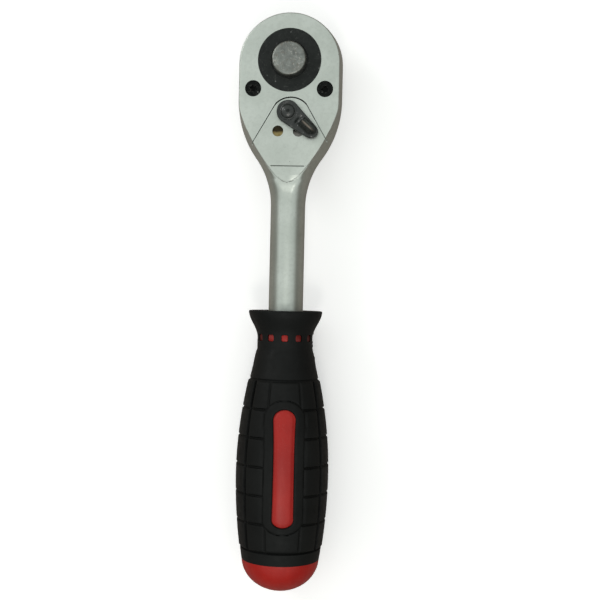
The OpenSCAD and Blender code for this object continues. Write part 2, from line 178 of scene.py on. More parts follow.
def lathe(name, profile, centre=(0, 0), steps=96, axis="z"):
    """A turned solid. profile is (radius, height) from the axis, up and back to the axis."""
    rows = [[] for _ in profile]
    verts = []
    for k, (r, z) in enumerate(profile):
        for i in range(steps):
            a = 2 * math.pi * i / steps
            rows[k].append(len(verts))
            c, s = r * math.cos(a), r * math.sin(a)
            verts.append((c + centre[0], s + centre[1], z) if axis == "z" else (c, -z, s + PART_Z))
    faces = []
    for a, b in zip(rows, rows[1:]):
        faces += [(a[i], a[(i + 1) % steps], b[(i + 1) % steps], b[i]) for i in range(steps)]
    return mesh_object(name, verts, faces)


WIRE_SIDES = 10


def wire(name, path, r):
    """A round wire along a path of points, with flat ends."""
    pts = [Vector(p) for p in path]
    verts, faces = [], []
    up = Vector((0, 0, 1))
    for i, p in enumerate(pts):
        t = (pts[min(i + 1, len(pts) - 1)] - pts[max(i - 1, 0)]).normalized()
        side = t.cross(up)
        if side.length < 1e-6:
            side = t.cross(Vector((0, 1, 0)))
        side.normalize()
        top = side.cross(t).normalized()
        for k in range(WIRE_SIDES):
            a = 2 * math.pi * k / WIRE_SIDES
            verts.append(tuple(p + side * r * math.cos(a) + top * r * math.sin(a)))
    for i in range(len(pts) - 1):
        for k in range(WIRE_SIDES):
            a, b = i * WIRE_SIDES + k, i * WIRE_SIDES + (k + 1) % WIRE_SIDES
            faces.append((a, b, b + WIRE_SIDES, a + WIRE_SIDES))
    faces.append(tuple(range(WIRE_SIDES))[::-1])
    faces.append(tuple(range((len(pts) - 1) * WIRE_SIDES, len(pts) * WIRE_SIDES)))
    return mesh_object(name, verts, faces)


# ---- forged head
def silhouette(y):
    """Half width of the head at its parting line."""
    if y >= STRAIGHT_END:
        return HEAD_R
    if y >= TANGENT_Y:
        return SHOULDER_X + math.sqrt(SHOULDER_R ** 2 - (y - STRAIGHT_END) ** 2)
    if y >= FILLET_Y:
        return FILLET_X - math.sqrt(FILLET_R ** 2 - (y - FILLET_Y) ** 2)
    return NECK_R


def soft_min(a, b, k):
    """The smaller of two values, rounded over where they are within k of each other."""
    h = max(k - abs(a - b), 0) / k
    return min(a, b) - h * h * k / 4


def face_half(y):
    """Half width of the flat face, which is pinched towards the neck and ends in a rounded point."""
    pinch = PINCH_X + math.sqrt(max(PINCH_R ** 2 - (y - PINCH_Y) ** 2, 0))
    side = soft_min(HEAD_R - FACE_INSET, pinch, 0.8) if y < STRAIGHT_END else HEAD_R - FACE_INSET
    t = min(max((NOSE_START - y) / (NOSE_START - NOSE_END), 0), 1)
    return side * math.sqrt(1 - t ** 4)


ROUND_START, ROUND_RUN = -43.0, 9.5


def roundness(y):
    """0 where the forging's wall is a straight draft, 1 where it is the neck's round section."""
    return ease((ROUND_START - y) / ROUND_RUN)


def crown(y):
    """Height of the face, or past the nose of the neck, above the parting line."""
    face = COVER_Z - PART_Z
    if y >= NOSE_END:
        return face
    return face - NOSE_DROP + (NECK_TOP - face + NOSE_DROP) * ease((NOSE_END - y) / CROWN_RUN)


WALL = [0, 3, 6, 9, 12, 16, 20, 25, 31, 38, 46, 55, 66, 78, 90]  # degrees round the section
WALL_BULGE = 0.07            # how far a drafted wall stands out of a straight line
NOSE_BEVEL, NOSE_DROP = 0.7, 0.3
NOSE_FLAT, FLAT_LEAD, FLAT_RUN = 3.9, 3.0, 11.0  # flat that carries the nose on along the neck
STEP_START, STEP_RUN, STEP_FADE, CROWN_RUN = -41.0, 8.0, 6.0, 5.0
RIM_R, RIM_SHIFT, PINCH_RIM = 0.55, 0.25, 0.3    # rounded rim of the face, tighter along the pinched part
RIM_START, RIM_RUN = -20.0, 10.0
RIM_ANGLES = (0, 0.35, 0.75, 1.15)


def wall_curve(face, half, height, y=0.0):
    """Quarter section from the face's edge down to the parting line, as (offset, z above parting)."""
    bend = roundness(y)
    past = NOSE_END - y
    step = ease((STEP_START - y) / STEP_RUN) if past <= 0 else 1 - ease(past / STEP_FADE)
    drop = NOSE_DROP * step if past <= 0 else 0.0
    flank = min(NOSE_BEVEL * step, (half - face) * 0.3)
    rim = RIM_R + (PINCH_RIM - RIM_R) * ease((RIM_START - y) / RIM_RUN)
    edge = min(rim, face) * (1 - step) if past <= 0 else 0.0
    foot = face + RIM_SHIFT * (edge / RIM_R if rim > PINCH_RIM else 0.0)
    top = height - drop - edge
    curve = [(foot + edge * (math.sin(a) - 1), height + edge * (math.cos(a) - 1)) for a in RIM_ANGLES]
    curve += [(foot + flank * 0.5, height - drop * 0.5 - edge), (foot + flank, top)]
    flat = NOSE_FLAT * (1 - ease((past + FLAT_LEAD) / FLAT_RUN))
    start = max(foot + flank + 0.02, min(flat, half * 0.7))
    for a in WALL:
        along, t = a / 90, math.radians(a)
        out = bend * math.sin(t) + (1 - bend) * (along + WALL_BULGE * math.sin(math.pi * along))
        down = bend * math.cos(t) + (1 - bend) * (1 - along)
        d = start + (half - start) * out
        curve.append((d, top * down))
    return curve


CLOSING = -44.0  # from here to the nose the sections stand closer and closer


def forged_shell(name):
    """Head and neck as one closed skin, from sections fanned round the end and on towards the grip."""
    verts, faces, rings = [], [], []
    stations = []
    for i in range(49):
        a = math.radians(90 - 90 * i / 48)
        curve = wall_curve(HEAD_R - FACE_INSET, HEAD_R, COVER_Z - PART_Z)
        stations.append((HEAD_Y, [(d * math.cos(a), HEAD_Y + d * math.sin(a), z) for d, z in curve]))
    ys = list(np.linspace(HEAD_Y, STRAIGHT_END, 5)[1:]) + list(np.linspace(STRAIGHT_END, CLOSING, 40)[1:])
    ys += [CLOSING + (NOSE_END - CLOSING) * math.sin(math.pi / 2 * i / 26) for i in range(1, 27)]
    ys += list(np.linspace(NOSE_END, FILLET_Y, 44)[1:]) + [-72, -82, -92, -102, -112]
    for y in ys:
        curve = wall_curve(face_half(y), silhouette(y), crown(y), y)
        stations.append((y, [(d, y, z) for d, z in curve]))
    for middle, curve in stations:
        height = curve[0][2]
        half = [(0, middle, height)] + curve + [(x, y, -z) for x, y, z in curve[-2::-1]]
        half.append((0, middle, -height))
        ring = []
        for side in (1, -1):
            ids = []
            for x, y, z in half:
                ids.append(len(verts))
                verts.append((side * x, y, z + PART_Z))
            ring.append(ids)
        rings.append(ring)
    for a, b in zip(rings, rings[1:]):
        for s in (0, 1):
            for k in range(len(a[s]) - 1):
                quad = (a[s][k], a[s][k + 1], b[s][k + 1], b[s][k])
                faces.append(quad if s == 0 else quad[::-1])
    last = rings[-1]
    faces.append(tuple(last[0] + last[1][-2:0:-1]))
    return mesh_object(name, verts, faces)


WEDGE = 30  # degrees between the lever plate's sides and the handle line


def plate_outline(grow, arch):
    """Plan of the lever plate: an arch over the pivot and straight sides that run past the head's own."""
    wedge, d = math.radians(WEDGE), ARCH_R + grow
    foot_x = d * math.cos(wedge) + BEYOND * math.sin(wedge)
    foot_y = ARCH_Y + d * math.sin(wedge) - BEYOND * math.cos(wedge)
    turn = math.degrees(math.acos(min(d / (ARCH_R + arch), 1)))
    top = arc(ARCH_X, ARCH_Y, ARCH_R + arch, WEDGE + turn, 180 - WEDGE - turn, 48)
    return [(ARCH_X + foot_x, foot_y)] + top + [(ARCH_X - foot_x, foot_y)]


def hole_tool(x, y, r, steps=48):
    """A round cutter through either plate."""
    return prism("hole", circle(x, y, r, steps), SEAT_Z - 4, COVER_Z + 7)


def bore(obj, tool):
    boolean(obj, tool, "DIFFERENCE")
    remove(tool)


SEAM, ARCH_GAP = 0.34, 0.62                         # open gap beside the lever plate and over its arch
END_SEAM, SEAM_HALF, CLOSED_SEAM = 0.42, 7.2, 0.03  # gap at the plates' lower end, open only in the middle
SHAPE_GAP = 0.05
ABOVE = COVER_Z + 3
POCKET_PLAN = [(10.8, -11), (13.1, -14.4), (13.1, -19), (8.9, -31.4), (4.4, -34.3)]

shell = forged_shell("shell")
head = clone(shell, "head_forging")
over_seat = [(-BEYOND, PLATE_END), (BEYOND, PLATE_END), (BEYOND, BEYOND), (-BEYOND, BEYOND)]
bore(head, prism("cut_top", over_seat, SEAT_Z, ABOVE))
bore(head, prism("cut_gear", circle(0, 0, GEAR_HOLE_R, 96), POCKET_FLOOR, ABOVE))
bore(head, prism("cut_collar", circle(0, 0, COLLAR_HOLE_R, 96), -2, POCKET_FLOOR + 1.4))
bore(head, prism("cut_pocket", POCKET_PLAN + [(-x, y) for x, y in POCKET_PLAN[::-1]], POCKET_FLOOR, ABOVE))

cover = clone(shell, "cover_plate")
shut, open_end = PLATE_END + CLOSED_SEAM, PLATE_END + END_SEAM
above_seam = [(-BEYOND, shut), (-SEAM_HALF, shut), (-SEAM_HALF, open_end), (SEAM_HALF, open_end),
              (SEAM_HALF, shut), (BEYOND, shut), (BEYOND, BEYOND), (-BEYOND, BEYOND)]
keep = prism("keep", above_seam, SEAT_Z, ABOVE)
boolean(cover, keep, "INTERSECT")
remove(keep)
plate = clone(cover, "lever_face")
bore(cover, prism("opening", plate_outline(SEAM, ARCH_GAP), SEAT_Z - 4, COVER_Z + 7))
shape = prism("shape", plate_outline(0, SHAPE_GAP), SEAT_Z - 4, COVER_Z + 7)
boolean(plate, shape, "INTERSECT")
remove(shape, shell)
for sx in (-1, 1):
    bore(cover, hole_tool(sx * SCREW_X, SCREW_Y, SCREW_HOLE_R))
    bore(plate, hole_tool(sx * PIN_X, PIN_Y, PIN_HOLE_R))
bore(cover, hole_tool(0, 0, RING_HOLE_R, 128))
bore(plate, hole_tool(0, PIVOT_Y, SHAFT_HOLE_R))
bore(plate, prism("seat", circle(0, PIVOT_Y, LEVER_SEAT_R, 64), COVER_Z - LEVER_SEAT_DEPTH, COVER_Z + 7))
soften(head, 0.2, 2, 40)
soften(cover, 0.14, 2, 40)
soften(plate, 0.14, 2, 40)
for o, node in ((head, "head_body"), (cover, "gear_cover"), (plate, "lever_plate")):
    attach(o, "head")
    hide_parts(node)

# ---- cover screws
SCREW_HEAD_R, SCREW_TOP, SOCKET_R, SOCKET_DEPTH = 3.38, 16.55, 1.62, 1.9
SCREW_END, SHANK_R, HEAD_SEAT, CHAMFER, DISH = 5.5, 2.0, 15.0, 0.35, 0.12


def cover_screw(side):
    """Countersunk screw with a six-point recess, each turned its own way."""
    profile = [(0, SCREW_END), (SHANK_R - 0.4, SCREW_END), (SHANK_R, SCREW_END + 0.4),
               (SHANK_R, HEAD_SEAT - 0.1), (SHANK_R + 0.15, HEAD_SEAT), (SCREW_HEAD_R, HEAD_SEAT),
               (SCREW_HEAD_R, SCREW_TOP - CHAMFER), (SCREW_HEAD_R - CHAMFER, SCREW_TOP),
               (SOCKET_R + 0.55, SCREW_TOP), (SOCKET_R + 0.3, SCREW_TOP - DISH), (0, SCREW_TOP - DISH)]
    body = lathe("screw", profile, (side * SCREW_X, SCREW_Y), 64)
    star = []
    for i in range(72):
        lobe = math.radians(i * 5)
        a = math.radians(i * 5 + 11 * side)
        r = SOCKET_R * (0.87 + 0.13 * math.cos(6 * lobe))
        star.append((side * SCREW_X + r * math.cos(a), SCREW_Y + r * math.sin(a)))
    bore(body, prism("socket", star, SCREW_TOP - SOCKET_DEPTH, SCREW_TOP + 1))
    return body


screws = joined("cover_screw_pair", [cover_screw(-1), cover_screw(1)])
soften(screws, 0.08, 2, 40)
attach(screws, "head")
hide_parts("cover_screws")

# ---- push button
BUTTON_R, BUTTON_TOP, STEM_R, STEM_END, STEM_NECK_R = 7.25, 21.3, 3.2, -9.8, 2.11
FLANGE_R, FLANGE_LOW, FLANGE_TOP = 8.1, 13.4, 14.9

stem = [(0, STEM_END), (STEM_R - 0.5, STEM_END), (STEM_R, STEM_END + 0.5), (STEM_R, -7.73),
        (STEM_NECK_R, -4.1), (STEM_NECK_R, -3.5), (STEM_R, -1.9), (STEM_R, FLANGE_LOW)]
flange = [(FLANGE_R, FLANGE_LOW), (FLANGE_R, FLANGE_TOP), (BUTTON_R, FLANGE_TOP)]
worn_edge = [(0, 0.75), (0.1, 0.45), (0.3, 0.2), (0.62, 0.04), (1.1, 0), (2.65, 0.02), (5.05, 0.05)]
worn_top = [(BUTTON_R - inset, BUTTON_TOP - sunk) for inset, sunk in worn_edge + [(BUTTON_R, 0.06)]]
button = lathe("push_button", stem + flange + worn_top, steps=128)
smooth_by_angle(button, 40)
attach(button, "button")
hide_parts("release_button")

# ---- reversing lever
ARM = math.radians(-40)
LEVER_Z, HUB_R, TIP, TIP_R = 17.15, 4.85, 16.1, 2.9
HUB_H, ARM_DROP, LOWEST_TOP, FOOT_H, LEVER_EDGE = 3.1, 0.45, 0.7, 0.35, 0.62
GROOVE_R, TAB_H, TAB_START, TAB_FADE = 3.45, 2.6, 6.7, 12.4


def lever_half(u, side):
    """Half width of the lever at a distance u from the pivot, on its straight (1) or full (-1) side."""
    if u <= 0:
        return math.sqrt(max(HUB_R ** 2 - u * u, 0))
    taper = (u / (TIP - 2.0)) ** (1.0 if side > 0 else 1.35)
    base = HUB_R - (HUB_R - TIP_R) * min(taper, 1)
    if u > TIP - TIP_R:
        base *= math.sqrt(max(1 - ((u - TIP + TIP_R) / TIP_R) ** 2, 0))
    return base


def lever_top(u, v):
    """Height of the lever's top over its seat at (along, across)."""
    z = HUB_H - ARM_DROP * ease((u - 3.5) / 4)
    z -= 0.3 * math.exp(-((math.hypot(u, v) - GROOVE_R) / 0.4) ** 2)
    crest = 0.95 - 0.06 * (u - 8)
    along = ease(u - TAB_START) * (1 - ease((u - TAB_FADE) / 3.2))
    reach = 3.4 if v < crest else 2.2
    t = min(abs(v - crest) / reach, 1)
    fin = TAB_H * along * (0.8 * (1 - ease(t)) + 0.2 * math.exp(-((v - crest) / 0.8) ** 2))
    scoop = 0.9 * math.exp(-((u - 5.9) / 0.95) ** 2 - ((v + 0.4) / 1.9) ** 2)
    return z + fin - scoop


def build_lever():
    """The lever as cross-sections along its arm, from the back of the hub to the tip."""
    us = [-HUB_R * math.cos(math.pi / 2 * i / 22) for i in range(23)]
    us += list(np.linspace(0, TIP - TIP_R, 70)[1:])
    us += [TIP - TIP_R + TIP_R * math.sin(math.pi / 2 * i / 16) for i in range(1, 17)]
    across = 48
    verts, rings = [], []
    for u in us:
        ring = []
        for k in range(across + 1):
            t = math.sin(math.pi / 2 * (2 * k / across - 1))
            width = lever_half(u, 1 if t > 0 else -1)
            v = t * width
            gap = min(max(width - abs(v), 0), max(TIP - u, 0) * 2)
            drop = LEVER_EDGE - math.sqrt(max(LEVER_EDGE ** 2 - max(LEVER_EDGE - gap, 0) ** 2, 0))
            ring.append((v, max(lever_top(u, v) - drop * 1.1, LOWEST_TOP)))
        low = [(v, 0.0) for v, _ in ring[::-1]]
        ids = []
        for v, z in ring + [(ring[-1][0], FOOT_H)] + low + [(ring[0][0], FOOT_H)]:
            ids.append(len(verts))
            x = u * math.cos(ARM) - v * math.sin(ARM)
            y = u * math.sin(ARM) + v * math.cos(ARM)
            verts.append((x, PIVOT_Y + y, LEVER_Z + z))
        rings.append(ids)
    faces = []
    n = len(rings[0])
    for a, b in zip(rings, rings[1:]):
        faces += [(a[k], a[(k + 1) % n], b[(k + 1) % n], b[k]) for k in range(n)]
    return mesh_object("lever_arm", verts, faces)


lever = build_lever()
smooth_by_angle(lever, 50)
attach(lever, "lever")
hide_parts("reversing_lever")

# the shaft keeps its CAD cam; its peened end is dressed with a dome that shows hammer flats
DOME_R, DOME_FOOT, DOME_LOW, DOME_TOP = 3.05, 19.9, 20.35, 21.6
FLATS_FROM, FLATS_DEPTH = 20.9, 0.05
crown_points = [(DOME_R * math.cos(a), DOME_LOW + (DOME_TOP - DOME_LOW) * math.sin(a))
                for a in np.linspace(0, math.pi / 2, 14)]
dome = lathe("shaft_rivet", [(0, DOME_FOOT), (DOME_R, DOME_FOOT)] + crown_points, (0, PIVOT_Y), 64)
for vert in dome.data.vertices:
    x, y = vert.co.x / MM, vert.co.y / MM - PIVOT_Y
    if vert.co.z / MM > FLATS_FROM:
        vert.co.z -= MM * FLATS_DEPTH * abs(math.sin(1.35 * x + 0.5) * math.cos(1.6 * y - 0.4))
smooth_by_angle(dome, 50)
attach(dome, "lever")


# ---- springs
STEPS_PER_TURN, WIRE_R = 28, 0.35
CLOSED, CLOSED_PITCH = 0.15, 0.25  # share of the coils closed at either end, and their relative pitch


def coil(r, start, end, turns):
    """Points of a compression spring from start to end with closed end coils, as (cos, sin, along)."""
    n = turns * STEPS_PER_TURN
    foot = CLOSED * CLOSED_PITCH
    pts = []
    for i in range(n + 1):
        t = i / n
        rise = foot + (t - CLOSED) * (1 - 2 * foot) / (1 - 2 * CLOSED)
        if t < CLOSED:
            rise = t * CLOSED_PITCH
        elif t > 1 - CLOSED:
            rise = 1 - (1 - t) * CLOSED_PITCH
        a = 2 * math.pi * i / STEPS_PER_TURN
        pts.append((r * math.cos(a), r * math.sin(a), start + WIRE_R + (end - start - 2 * WIRE_R) * rise))
    return pts


WELL_FLOOR, BUTTON_TRAVEL = 3.0, 3.0
PAWL_SPRING_Y, PAWL_SPRING_END, LEFT_START, RIGHT_START, RIGHT_SHORTEST = -20, 17.0, 12.5, 9.85, 4.5

release = wire("button_spring", coil(4.35, WELL_FLOOR, FLANGE_LOW, 6), WIRE_R)
smooth_by_angle(release, 60)
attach(release, "drive")
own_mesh(release)
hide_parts("release_spring")
for side, name, node, start in ((-1, "left_pawl_coil", "left_pawl_spring", LEFT_START),
                                (1, "right_pawl_coil", "right_pawl_spring", RIGHT_START)):
    path = [(side * h, PAWL_SPRING_Y + a, PART_Z + b) for a, b, h in coil(1.9, start, PAWL_SPRING_END, 5)]
    spring = wire(name, path, WIRE_R)
    smooth_by_angle(spring, 60)
    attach(spring, "head")
    if side > 0:
        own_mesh(spring)
    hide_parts(node)

# ---- grip
LIP_D, WAIST_D, BELLY_D, TAIL_D = 32.0, 24.0, 40.3, 34.4
NECK_HOLE_R, MOUTH_L, RUBBER_T = NECK_R + 0.02, 3.2, 3.0
WAIST_A, WAIST_B, BELLY_AT = 119.0, 124.0, 178.0
WINDOW_HALF, WINDOW_CAP_TOP, WINDOW_CAP_END, WINDOW_STEPS = 4.38, 4.3, 3.3, 26


def grip_r(h):
    """Radius of the plain grip profile at a distance h from the drive axis."""
    if h < WAIST_A:
        t = max(h - GRIP_START, 0) / (WAIST_A - GRIP_START)
        return (LIP_D + (WAIST_D - LIP_D) * (1 - math.cos(math.pi * t)) / 2) / 2
    if h < WAIST_B:
        return WAIST_D / 2
    if h < BELLY_AT:
        swell = math.sin(math.pi / 2 * (h - WAIST_B) / (BELLY_AT - WAIST_B)) ** 0.85
        return (WAIST_D + (BELLY_D - WAIST_D) * swell) / 2
    return (BELLY_D + (TAIL_D - BELLY_D) * ((h - BELLY_AT) / (RUBBER_END - BELLY_AT)) ** 2) / 2


def window_half(h):
    """Half width of the window slot: wider at the neck end, waisted in the middle."""
    t = (h - WINDOW_TOP) / (WINDOW_END - WINDOW_TOP)
    return WINDOW_HALF + 0.62 * max(1 - t / 0.38, 0) ** 2 + 0.2 * max((t - 0.5) / 0.5, 0) ** 2


def window_marks():
    """Where the window's rounded ends start, with the half width at each."""
    top, low = WINDOW_TOP + WINDOW_CAP_TOP, WINDOW_END - WINDOW_CAP_END
    return top, low, window_half(top), window_half(low)


def window_distance(x, h):
    """Signed distance in plan from the window's edge, negative inside."""
    top, low, r0, r1 = window_marks()
    if h < top:
        return math.hypot(x, (top - h) * r0 / WINDOW_CAP_TOP) - r0
    if h > low:
        stretch = 1 + (r1 / WINDOW_CAP_END - 1) * ease((h - low) / 1.5)
        return math.hypot(x, (h - low) * stretch) - r1
    return abs(x) - window_half(h)


def window_outline(grow):
    """Plan of the window, grown all round."""
    top, low, r0, r1 = window_marks()
    down = np.linspace(top, low, WINDOW_STEPS)[1:-1]
    pts = [((r0 + grow) * math.cos(a), -top + (WINDOW_CAP_TOP + grow) * math.sin(a))
           for a in np.linspace(0, math.pi, WINDOW_STEPS)]
    pts += [(-(window_half(h) + grow), -h) for h in down]
    pts += [((r1 + grow) * math.cos(a), -low + (WINDOW_CAP_END + grow) * math.sin(a))
            for a in np.linspace(math.pi, 2 * math.pi, WINDOW_STEPS)]
    pts += [(window_half(h) + grow, -h) for h in down[::-1]]
    return pts


ROWS = [GROOVE_FIRST + GROOVE_PITCH * k for k in range(GROOVE_ROWS + 1)]
ROW_HALF, ROW_DEPTH = 0.38, 0.62
# lengthwise grooves on either side: degrees from the top, half width, depth
COLUMNS = [(23.5, 0.35, 0.4), (54, 0.78, 1.25), (90, 0.5, 0.6), (126, 0.78, 1.25), (156.5, 0.35, 0.4)]
FRAME_HALF, FRAME_DEPTH, FRAME_SOFT = 0.22, 0.42, 0.3
WINDOW_EDGE, WINDOW_SINK = 1.0, 0.85   # rounded edge of the window
COLLAR_SINK, TAIL_SINK = 0.5, 0.3      # skin between waist and first groove, and past the last groove
FAR = 99.0
CRUMB_FROM, CRUMB_TO, CRUMB_AT = 117, 129, 84  # torn skin on the right of the waist
GRIP_TURN = math.radians(7)


def dip(d, half, depth, soft=0.35):
    """Depth of a soft-edged groove at distance d from its middle line."""
    d = abs(d)
    return depth * (1 - ease((d - half * 0.4) / (half * 0.6 + soft)))


def rubber_relief(h, deg):
    """How far the rubber's skin lies under the plain grip profile."""
    r = grip_r(h)
    a = abs((deg + 180) % 360 - 180)
    near = min(a, 180 - a)
    x = r * math.sin(math.radians(near))
    d = window_distance(x, h) if near < 40 else FAR
    low = 0.0
    if CRUMB_FROM < h < CRUMB_TO and deg < 180:
        crumb = max(math.sin(h * 2.3) * math.sin(h * 1.37 + 0.6) + 0.25, 0)
        low -= 0.3 * crumb * math.exp(-((a - CRUMB_AT) / 1.6) ** 2)
    if WAIST_B < h < GROOVE_FIRST:
        low += COLLAR_SINK * ease((h - WAIST_B) / 9.0) * (1 - ease((h - GROOVE_FIRST + 0.5) / 0.5))
    if h > ROWS[-1]:
        low += TAIL_SINK
    if ROWS[0] - 1 < h < ROWS[-1] + 1 and d >= FRAME_W:
        cut = max(dip(h - row, ROW_HALF, ROW_DEPTH) for row in ROWS)
        if ROWS[0] < h < ROWS[-1]:
            for angle, half, depth in COLUMNS:
                arc_len = math.radians(a - angle) * r
                if abs(arc_len) < 2.5:
                    end = ease((h - ROWS[0]) / 0.6) * ease((ROWS[-1] - h) / 0.6)
                    cut = max(cut, dip(arc_len, half, depth) * end)
        low += cut * ease((d - FRAME_W) / 0.35)
    if d < FAR:
        low = max(low, dip(d - FRAME_W, FRAME_HALF, FRAME_DEPTH, FRAME_SOFT))
    if d < WINDOW_EDGE:
        q = min(WINDOW_EDGE - d, WINDOW_EDGE)
        low = max(low, WINDOW_SINK * (WINDOW_EDGE - math.sqrt(WINDOW_EDGE ** 2 - q * q)))
    return low


def lines(breaks, fill, low, high):
    """Sorted grid lines: the breakpoints, and enough between them that no gap passes fill(position)."""
    marks = sorted({round(b, 4) for b in breaks if low <= b <= high} | {low, high})
    out = [marks[0]]
    for a, b in zip(marks, marks[1:]):
        n = max(1, math.ceil((b - a) / fill((a + b) / 2)))
        out += [a + (b - a) * i / n for i in range(1, n + 1)]
    return out


def grip_grid():
    """Grid of the rubber's skin, (distances, degrees), with its lines gathered at the grooves."""
    hb = [GRIP_START + 0.6, WAIST_A, WAIST_B]
    for row in ROWS:
        hb += [row + o for o in (-0.75, -0.5, -0.25, -0.1, 0.1, 0.25, 0.5, 0.75)]
    frame_low, frame_high = WINDOW_TOP - FRAME_W - 1, WINDOW_END + FRAME_W + 1
    hb += [frame_low, frame_high]
    hs = lines(hb, lambda h: 0.42 if frame_low < h < frame_high else 0.9, GRIP_START + 0.6, RUBBER_END)
    tb = []
    for angle, _, _ in COLUMNS:
        for o in (-3.2, -2.2, -1.4, -0.7, 0, 0.7, 1.4, 2.2, 3.2):
            tb += [(angle + o + 360) % 360, (-angle + o + 360) % 360]
    ts = lines(tb, lambda t: 1.15 if min(t % 180, 180 - t % 180) < 34 else 2.6, 0.0, 360.0)[:-1]
    return hs, ts


def turned_grip(obj):
    """Turns a moulded part about the handle's axis by the angle at which the grip sits on the neck."""
    c, s = math.cos(GRIP_TURN), math.sin(GRIP_TURN)
    for vert in obj.data.vertices:
        x, z = vert.co.x, vert.co.z - PART_Z * MM
        vert.co.x, vert.co.z = x * c + z * s, PART_Z * MM - x * s + z * c


def build_rubber():
    """The rubber sleeve, ring by ring: its flared mouth, its outer skin, its end and its bore."""
    hs, ts = grip_grid()
    verts, rings = [], []

    def add_ring(h, radius):
        ids = []
        for t in ts:
            r = radius(t)
            a = math.radians(t)
            ids.append(len(verts))
            verts.append((r * math.sin(a), -h, PART_Z + r * math.cos(a)))
        rings.append(ids)

    lip, corner = LIP_D / 2, 0.6
    mouth = [(NECK_HOLE_R, GRIP_START + MOUTH_L), (NECK_HOLE_R, GRIP_START + 0.5),
             (NECK_HOLE_R + 0.25, GRIP_START + 0.15), (NECK_HOLE_R + 0.7, GRIP_START)]
    mouth += [(lip - corner + corner * math.sin(a), GRIP_START + corner - corner * math.cos(a))
              for a in np.linspace(0, math.pi / 2, 6)[:-1]]
    for r, h in mouth:
        add_ring(h, lambda t, r=r: r)
    for h in hs:
        add_ring(h, lambda t, h=h: grip_r(h) - rubber_relief(h, t))
    end = grip_r(RUBBER_END)
    for r, h in ((end - 0.75, RUBBER_END + 0.35), (end - 1.3, RUBBER_END + 0.4)):
        add_ring(h, lambda t, r=r: r)
    for h in np.linspace(RUBBER_END, GRIP_START + MOUTH_L, 40):
        add_ring(h, lambda t, h=h: max(grip_r(h) - RUBBER_T, NECK_R + 0.3))
    faces = []
    n = len(ts)
    loops = rings + [rings[0]]
    for a, b in zip(loops, loops[1:]):
        faces += [(a[k], a[(k + 1) % n], b[(k + 1) % n], b[k]) for k in range(n)]
    return mesh_object("rubber_sleeve", verts, faces)


rubber = build_rubber()
slots = [prism("slot", window_outline(0.0), PART_Z - BEYOND, PART_Z + BEYOND)]
DOT_AT, DOT_W, DOT_H, DOT_TURN = 118.9, 2.8, 2.9, -2.5
DOT_COUNT, DOT_CORNER = 12, 0.75


def rounded_peg(name, angle, grow, low, high):
    """A radial peg with a rounded square section, at an angle round the handle from the top."""
    w, h, r = DOT_W / 2 + grow, DOT_H / 2 + grow, DOT_CORNER
    pts = []
    for cx, cy, s in ((w - r, h - r, 0), (-w + r, h - r, 90), (-w + r, -h + r, 180), (w - r, -h + r, 270)):
        pts += arc(cx, cy, r, s, s + 90, 6)
    ca, sa = math.cos(math.radians(angle)), math.sin(math.radians(angle))
    verts = []
    for z in (low, high):
        for x, y in pts:
            verts.append((x * ca + z * sa, -DOT_AT + y, PART_Z - x * sa + z * ca))
    n = len(pts)
    faces = [tuple(range(n)), tuple(range(n, 2 * n))]
    faces += [(i, (i + 1) % n, n + (i + 1) % n, n + i) for i in range(n)]
    return mesh_object(name, verts, faces)


dot_angles = [360 / DOT_COUNT * k + DOT_TURN for k in range(DOT_COUNT)]
slots += [rounded_peg("peg_hole", angle, 0.06, NECK_R + 0.1, LIP_D / 2) for angle in dot_angles]
cutter = joined("grip_cutter", slots)
boolean(rubber, cutter, "DIFFERENCE")
remove(cutter)
smooth_by_angle(rubber, 42)
turned_grip(rubber)
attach(rubber, "head")
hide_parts("rubber_grip")


# red hard core: butt, window inserts, pegs
PAD_SINK, PAD_ROUND, PAD_DEPTH = 0.55, 0.35, 3.4


def insert_block(name, up):
    """The red pad that fills one window: the grip's curve, a little crowned, with rounded edges."""
    verts, rows = [], []
    degs = list(np.linspace(-19, 19, 41))
    for h in np.linspace(WINDOW_TOP - 1, WINDOW_END + 1, 70):
        row = []
        for level in (0, 1):
            for t in degs:
                d = -window_distance(grip_r(h) * math.sin(math.radians(t)), h)
                skin = grip_r(h) - PAD_SINK - PAD_ROUND * (1 - ease(d / 1.6))
                r = skin if level else grip_r(h) - PAD_DEPTH
                row.append(len(verts))
                a = math.radians(t)
                verts.append((r * math.sin(a), -h, PART_Z + up * r * math.cos(a)))
        rows.append(row)
    m = len(degs)
    faces = []
    for a, b in zip(rows, rows[1:]):
        for level in (0, m):
            faces += [(a[k], a[k + 1], b[k + 1], b[k]) for k in range(level, level + m - 1)]
        faces += [(a[0], a[m], b[m], b[0]), (a[m - 1], a[2 * m - 1], b[2 * m - 1], b[m - 1])]
    for row in (rows[0], rows[-1]):
        faces += [(row[k], row[k + 1], row[m + k + 1], row[m + k]) for k in range(m - 1)]
    block = mesh_object(name, verts, faces)
    outline = prism("outline", window_outline(-0.04), PART_Z - BEYOND, PART_Z + BEYOND)
    boolean(block, outline, "INTERSECT")
    remove(outline)
    return block


def core_profile():
    """Section of the hard core: its body under the rubber, then the rounded butt."""
    start = GRIP_START + MOUTH_L + 0.1
    r = TAIL_D / 2 - 0.35
    depth = BUTT_END - RUBBER_END + 0.4
    pts = [(0, start), (NECK_R - 1.4, start)]
    pts += [(max(grip_r(h) - RUBBER_T - 0.02, NECK_R), h) for h in np.linspace(start, RUBBER_END - 0.4, 40)]
    pts += [(r - 0.35, RUBBER_END - 0.35), (r, RUBBER_END + 0.1)]
    pts += [(r * math.cos(a), BUTT_END - depth * (1 - math.sin(a)))
            for a in np.linspace(0.02, math.pi / 2, 28)]
    return pts


